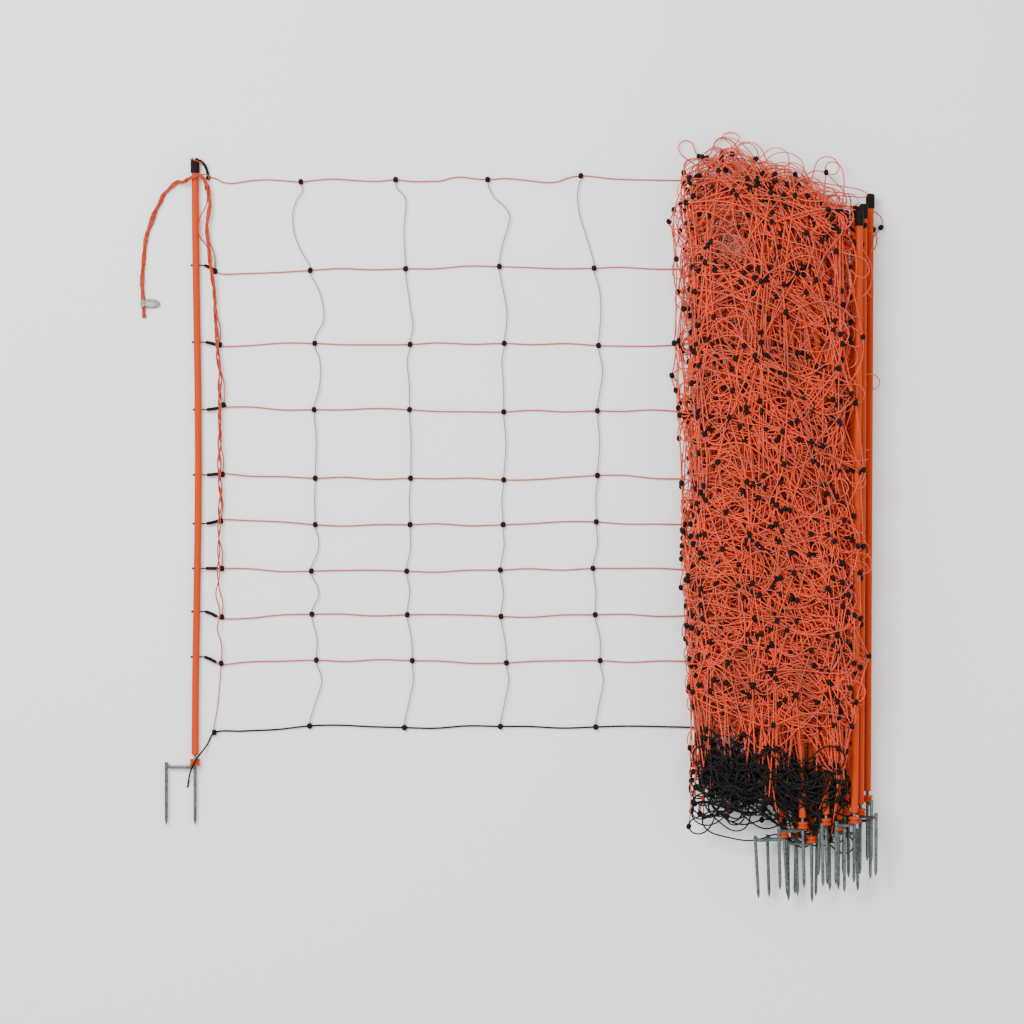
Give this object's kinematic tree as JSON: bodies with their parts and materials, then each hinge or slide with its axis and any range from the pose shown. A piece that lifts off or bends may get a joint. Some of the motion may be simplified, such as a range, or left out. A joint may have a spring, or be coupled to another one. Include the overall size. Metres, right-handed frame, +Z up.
{
  "type": "electric sheep netting",
  "caption": "Electric sheep netting, one bay spread flat beside an end post with its lead, the rest gathered in a heap with its posts and ground spikes.",
  "frame": {"origin": "on the floor under the middle of the object, its free lead left out", "axes": "+X along the net from the end post to the heap, +Y up the height of the net as it would stand, +Z up from the floor"},
  "size_m": [1.3307, 1.3644, 0.1388],
  "materials": {
    "live_strand": "twisted orange plastic yarns with fine bare steel wires, matte",
    "ground_strand": "twisted black plastic yarns, matte",
    "post_plastic": "smooth orange extruded plastic, slightly shiny",
    "black_plastic": "moulded black plastic",
    "galvanised_steel": "dull galvanised steel rod",
    "clip_metal": "plated pressed metal, slightly worn"
  },
  "bodies": {
    "root": {"connector_clip": "clip_metal", "end_post_cap": "black_plastic", "end_post_collar": "post_plastic", "end_post_spike": "galvanised_steel", "end_post_tube": "post_plastic", "gathered_post_01": "post_plastic", "gathered_post_02": "post_plastic", "gathered_post_03": "post_plastic", "gathered_post_04": "post_plastic", "gathered_post_05": "post_plastic", "gathered_post_06": "post_plastic", "gathered_post_07": "post_plastic", "gathered_post_08": "post_plastic", "gathered_post_09": "post_plastic", "gathered_post_10": "post_plastic", "gathered_post_11": "post_plastic", "gathered_post_12": "post_plastic", "gathered_post_13": "post_plastic", "gathered_spike_01": "galvanised_steel", "gathered_spike_02": "galvanised_steel", "gathered_spike_03": "galvanised_steel", "gathered_spike_04": "galvanised_steel", "gathered_spike_05": "galvanised_steel", "gathered_spike_06": "galvanised_steel", "gathered_spike_07": "galvanised_steel", "gathered_spike_08": "galvanised_steel", "gathered_spike_09": "galvanised_steel", "gathered_spike_10": "galvanised_steel", "gathered_spike_11": "galvanised_steel", "gathered_spike_12": "galvanised_steel", "gathered_spike_13": "galvanised_steel", "ground_strand": "ground_strand", "lead_riser": "live_strand", "link_2": "black_plastic", "link_3": "black_plastic", "link_4": "black_plastic", "link_5": "black_plastic", "link_6": "black_plastic", "link_7": "black_plastic", "link_8": "black_plastic", "link_9": "black_plastic", "live_strand_1": "live_strand", "live_strand_2": "live_strand", "live_strand_3": "live_strand", "live_strand_4": "live_strand", "live_strand_5": "live_strand", "live_strand_6": "live_strand", "live_strand_7": "live_strand", "live_strand_8": "live_strand", "live_strand_9": "live_strand", "netting_heap_ground": "ground_strand", "netting_heap_live": "live_strand", "pigtail_lead": "live_strand", "upright_strand_1": "live_strand", "upright_strand_2": "live_strand", "upright_strand_3": "live_strand", "upright_strand_4": "live_strand"}
  },
  "joints": []
}
